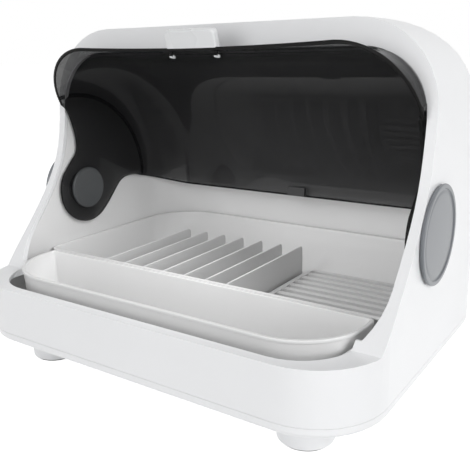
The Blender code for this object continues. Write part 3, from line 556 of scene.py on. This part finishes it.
# The wet side
WET_FLOOR = 0.0486
TRAY_HALF = 0.1908
TRAY_FRONT = -0.068
TRAY_BACK = float(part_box("drain_tray")[1][1])
TRAY_TOP = 0.090
TRAY_SLOPE = 0.0415
BOX_HALF = 0.177
BOX_FRONT = -0.143
BOX_DEPTH = 0.0715
BOX_TOP = 0.091
RIM_SMOOTH_BELOW = 50.0
QUARTER_TURN = 1.57


def over_rim(inner, lip, top, steps=5):
    """Insets and heights that go up to a rim's top along a quarter circle, across it and down another."""
    quarter = np.linspace(0, QUARTER_TURN, steps)
    outside = [(lip * (1 - math.cos(q)), top - lip * (1 - math.sin(q))) for q in quarter]
    inside = [(inner - lip * (1 - math.sin(q)), top - lip * (1 - math.cos(q))) for q in quarter]
    return outside + inside


def build_tray(rim=0.0022, wall=0.002, taper=0.004, rear=0.0588, floor_rear=0.030, front=0.012,
               least_front=0.002, lip=0.0009, under_round=0.0003, under_height=0.0004, floor_round=0.0008,
               floor_height=0.0006):
    """The drain tray: a rounded plan ring carried up the outside, over the rim and down the inside; towards
    the floor its sides come in by the taper and its back comes forward along a smooth curve."""
    heights = np.linspace(0, 1, 11)
    slopes = np.interp(heights, (0.0, 0.3, 0.65, 1.0), (1.0, 0.57, 0.22, 0.0))

    def ring(inset, slope, z):
        back = TRAY_BACK - inset - TRAY_SLOPE * slope
        plan = rounded_ring((-TRAY_HALF + inset, TRAY_FRONT + inset), (TRAY_HALF - inset, back),
                            max(front - inset, least_front), rear - inset - (rear - floor_rear) * slope)
        return level(plan, z)

    under = TRAY_TOP - rim
    inner = rim + wall
    base = WET_FLOOR + wall
    rings = [ring(rim + taper * (1 - h), s, WET_FLOOR + (under - WET_FLOOR) * h)
             for h, s in zip(heights, slopes)]
    rings += [ring(under_round, 0, under), ring(0, 0, under + under_height)]
    rings += [ring(inset, 0, z) for inset, z in over_rim(inner, lip, TRAY_TOP)]
    rings += [ring(inner + taper * (1 - h), s, base + (TRAY_TOP - base) * h)
              for h, s in zip(heights[-2:0:-1], slopes[-2:0:-1])]
    rings += [ring(inner + taper, 1, base + floor_height), ring(inner + taper + floor_round, 1, base)]
    points, faces = capped(rings)
    add_piece("drip_tray", points, faces, [tray_finish], "drain_tray", RIM_SMOOTH_BELOW)


def build_box(rim=0.0008, rim_high=0.0030, wall=0.0024, taper=0.003, front_radius=0.058, rear_radius=0.006,
              least_rear=0.0024, lip=0.0007, under_round=0.0002, floor_round=0.004, floor_steps=6,
              inner_taper_share=0.9):
    """The cutlery box: its plan ring carried up the outside, round the rim and down the inside."""

    def ring(inset, z):
        plan = rounded_ring((-BOX_HALF + inset, BOX_FRONT + inset),
                            (BOX_HALF - inset, BOX_FRONT + BOX_DEPTH - inset),
                            front_radius - inset, max(rear_radius - inset, least_rear))
        return level(plan, z)

    under = BOX_TOP - rim_high
    inner = rim + wall
    base = WET_FLOOR + wall
    rings = [ring(rim + taper, WET_FLOOR), ring(rim, under), ring(under_round, under),
             ring(0, under + under_round)]
    rings += [ring(inset, z) for inset, z in over_rim(inner, lip, BOX_TOP)]
    rings += [ring(inner + taper * inner_taper_share, base + floor_round)]
    rings += [ring(inner + taper + floor_round * (1 - math.cos(q)), base + floor_round * (1 - math.sin(q)))
              for q in np.linspace(0, QUARTER_TURN, floor_steps)]
    points, faces = capped(rings)
    add_piece("cutlery_tray", points, faces, [tray_finish], "cutlery_box", RIM_SMOOTH_BELOW)


build_lid()
build_grip()
build_pegs()
build_caps()
build_feet()
build_tray()
build_box()
merged_copy("cabinet_shell", "housing", housing_finish, bevel=0.0008, steps=3)
merged_copy("base_pan", "base_tub", housing_finish, bevel=0.0003)
merged_copy("chamber_liner", "chamber_lining", liner_finish)
merged_copy("plate_rack", "plate_stand", rack_finish, bevel=0.0005)
merged_copy("cup_rack", "cup_grille", rack_finish, bevel=0.0007)
merged_copy("lamp_housing", "lamp_case", liner_finish, bevel=0.0004)

wear(["lid_magnet", "friction_washer_left", "friction_washer_right", "control_chip", "control_coil",
      "dc_jack"], black_finish)
wear([name for name in nodes if name.startswith(("base_screw", "hinge_pin"))], steel_finish)
wear(["control_board", "led_board", "lid_sensor"], board_finish)
wear(["lamp_lens"] + [name for name in nodes if name.startswith("uv_led")], clear_finish)


def straight_rays(tree):
    """One for camera, glossy and transmission rays, and nought for the rays that light things."""
    ray = add_node(tree, "ShaderNodeLightPath", (-700, 0))
    first = add_node(tree, "ShaderNodeMath", (-500, 0), operation="MAXIMUM")
    second = add_node(tree, "ShaderNodeMath", (-350, 0), operation="MAXIMUM")
    tree.links.new(ray.outputs["Is Camera Ray"], first.inputs[0])
    tree.links.new(ray.outputs["Is Glossy Ray"], first.inputs[1])
    tree.links.new(first.outputs[0], second.inputs[0])
    tree.links.new(ray.outputs["Is Transmission Ray"], second.inputs[1])
    return second.outputs[0]


def floor_surface():
    """Pale matt floor that also glows a little for the camera and for reflections, so it shows as white."""
    surface = bpy.data.materials.new("floor white")
    surface.use_nodes = True
    tree = surface.node_tree
    shader = tree.nodes["Principled BSDF"]
    shader.inputs["Base Color"].default_value = (*FLOOR_COLOUR, 1)
    shader.inputs["Roughness"].default_value = FLOOR_ROUGHNESS
    shader.inputs["Specular IOR Level"].default_value = 0.0
    lit = add_node(tree, "ShaderNodeEmission", (0, -300))
    lit.inputs["Strength"].default_value = FLOOR_LIFT
    both = add_node(tree, "ShaderNodeAddShader", (200, -100))
    seen = add_node(tree, "ShaderNodeMixShader", (400, 0))
    tree.links.new(shader.outputs[0], both.inputs[0])
    tree.links.new(lit.outputs[0], both.inputs[1])
    tree.links.new(straight_rays(tree), seen.inputs[0])
    tree.links.new(shader.outputs[0], seen.inputs[1])
    tree.links.new(both.outputs[0], seen.inputs[2])
    tree.links.new(seen.outputs[0], tree.nodes["Material Output"].inputs["Surface"])
    return surface


def build_floor():
    """A plain pale floor that keeps the object's shadow."""
    made = bpy.data.meshes.new("floor")
    reach = FLOOR_HALF
    made.from_pydata([(-reach, -reach, 0), (reach, -reach, 0), (reach, reach, 0), (-reach, reach, 0)], [],
                     [(0, 1, 2, 3)])
    made.materials.append(floor_surface())
    linked("floor", made)


def build_sky():
    """A white surround for the camera and for reflections, and a weaker one that lights the object."""
    sky = bpy.data.worlds.new("studio")
    bpy.context.scene.world = sky
    sky.use_nodes = True
    tree = sky.node_tree
    back = tree.nodes["Background"]
    back.inputs["Color"].default_value = (1, 1, 1, 1)
    strength = add_node(tree, "ShaderNodeMapRange", (-200, 0))
    strength.inputs["To Min"].default_value = SKY_STRENGTH
    strength.inputs["To Max"].default_value = BACKDROP_STRENGTH
    tree.links.new(straight_rays(tree), strength.inputs["Value"])
    tree.links.new(strength.outputs["Result"], back.inputs["Strength"])


def add_lamp(name, place, aim, size, power):
    """A soft square lamp that faces a point."""
    lamp = bpy.data.lights.new(name, "AREA")
    lamp.shape = "SQUARE"
    lamp.size = size
    lamp.energy = power
    made = linked(name, lamp)
    made.location = place
    made.rotation_euler = (Vector(aim) - Vector(place)).to_track_quat("-Z", "Y").to_euler()
    return made


def build_lamps():
    """Softboxes in front, at the right and above, and a weak fill in the chamber that is never seen."""
    for softbox in SOFTBOXES:
        add_lamp(*softbox)
    fill = add_lamp(*CHAMBER_FILL)
    fill.visible_camera = False
    fill.visible_glossy = False


def build_camera():
    """The photo's camera: its right, up and back directions come from azimuth, downward tilt and roll."""
    turn, tilt, roll = (math.radians(v) for v in (CAMERA_AZIMUTH, CAMERA_DOWN, CAMERA_ROLL))
    ahead = Vector((-math.sin(turn) * math.cos(tilt), math.cos(turn) * math.cos(tilt), -math.sin(tilt)))
    right = Vector((math.cos(turn), math.sin(turn), 0))
    up = right.cross(ahead)
    right_rolled = math.cos(roll) * right + math.sin(roll) * up
    up_rolled = -math.sin(roll) * right + math.cos(roll) * up
    lens = bpy.data.cameras.new("camera")
    lens.sensor_fit = "HORIZONTAL"
    lens.sensor_width = SENSOR_WIDTH
    lens.lens = FOCAL_PIXELS * SENSOR_WIDTH / PICTURE_PIXELS
    camera = linked("camera", lens)
    place = Matrix((right_rolled, up_rolled, -ahead)).transposed().to_4x4()
    place.translation = CAMERA_PLACE
    camera.matrix_world = place
    bpy.context.scene.camera = camera


build_floor()
build_sky()
build_camera()
build_lamps()
bpy.context.scene.view_settings.view_transform = "Standard"
